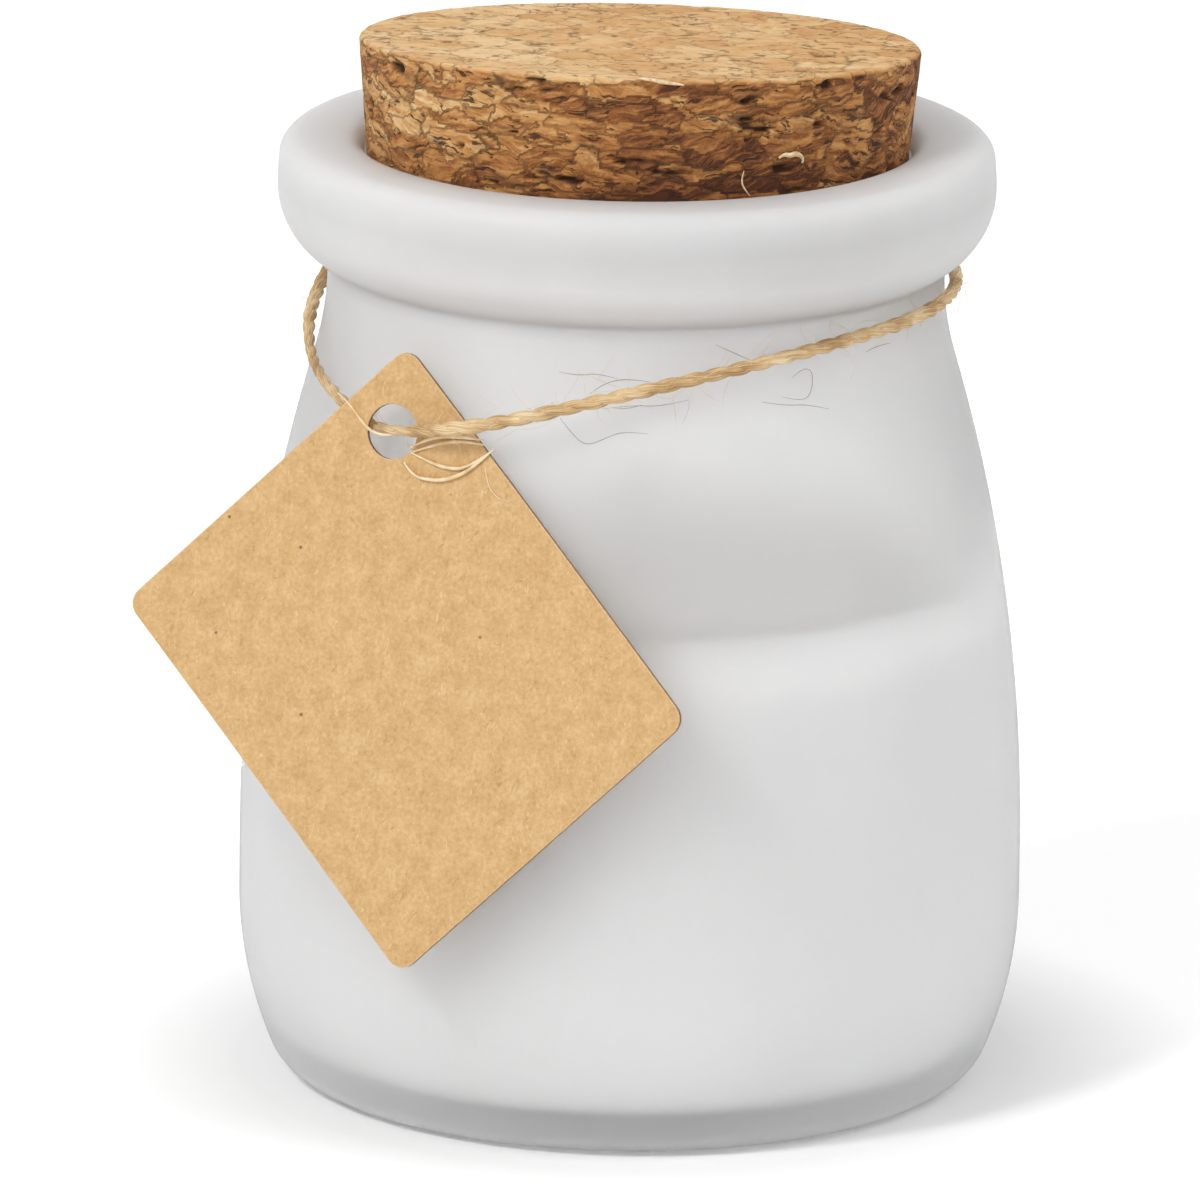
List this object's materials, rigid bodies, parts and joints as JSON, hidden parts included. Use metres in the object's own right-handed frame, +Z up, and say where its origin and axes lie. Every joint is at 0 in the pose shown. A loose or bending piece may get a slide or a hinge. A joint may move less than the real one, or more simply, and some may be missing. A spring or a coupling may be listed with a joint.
{
  "type": "candle jar with cork stopper",
  "caption": "Small frosted glass jar with a rolled rim, filled with candle wax and closed with a tapered cork stopper; jute twine round its neck carries a blank card tag.",
  "frame": {"origin": "middle of the jar's base, on the surface it stands on", "axes": "+Z up along the jar's axis; the front of the jar, with the tag to its left, faces -Y; +X is to the right seen from the front"},
  "size_m": [0.0655, 0.0624, 0.0792],
  "materials": {
    "frosted_glass": "satin",
    "pressed_cork": "matte",
    "candle_wax": "satin",
    "kraft_card": "matte",
    "jute_twine": "matte",
    "cotton_wick": "matte",
    "tinned_steel": "satin",
    "adhesive_pad": "matte"
  },
  "bodies": {
    "jar": {"glass_jar": "frosted_glass", "wax_fill": "candle_wax", "wick": "cotton_wick", "wick_sustainer": "tinned_steel", "wick_sticker": "adhesive_pad"},
    "stopper": {"cork_stopper": "pressed_cork"},
    "twine": {"twine_loop": "jute_twine", "twine_knot": "jute_twine"},
    "tag": {"kraft_tag": "kraft_card"}
  },
  "joints": [
    {"name": "cork_lift", "type": "slide", "parent": "jar", "child": "stopper", "axis": [0, 0, 1], "range_m": [0, 0.03]},
    {"name": "twine_turn", "type": "hinge", "parent": "jar", "child": "twine", "pos_m": [0, 0, 0.0601], "axis": [0, 0, 1], "continuous": true},
    {"name": "tag_sway", "type": "hinge", "parent": "twine", "child": "tag", "pos_m": [-0.0174, -0.01957, 0.0528], "axis": [-0.4149, -0.8897, 0.1908], "range_deg": [-25, 25]}
  ]
}
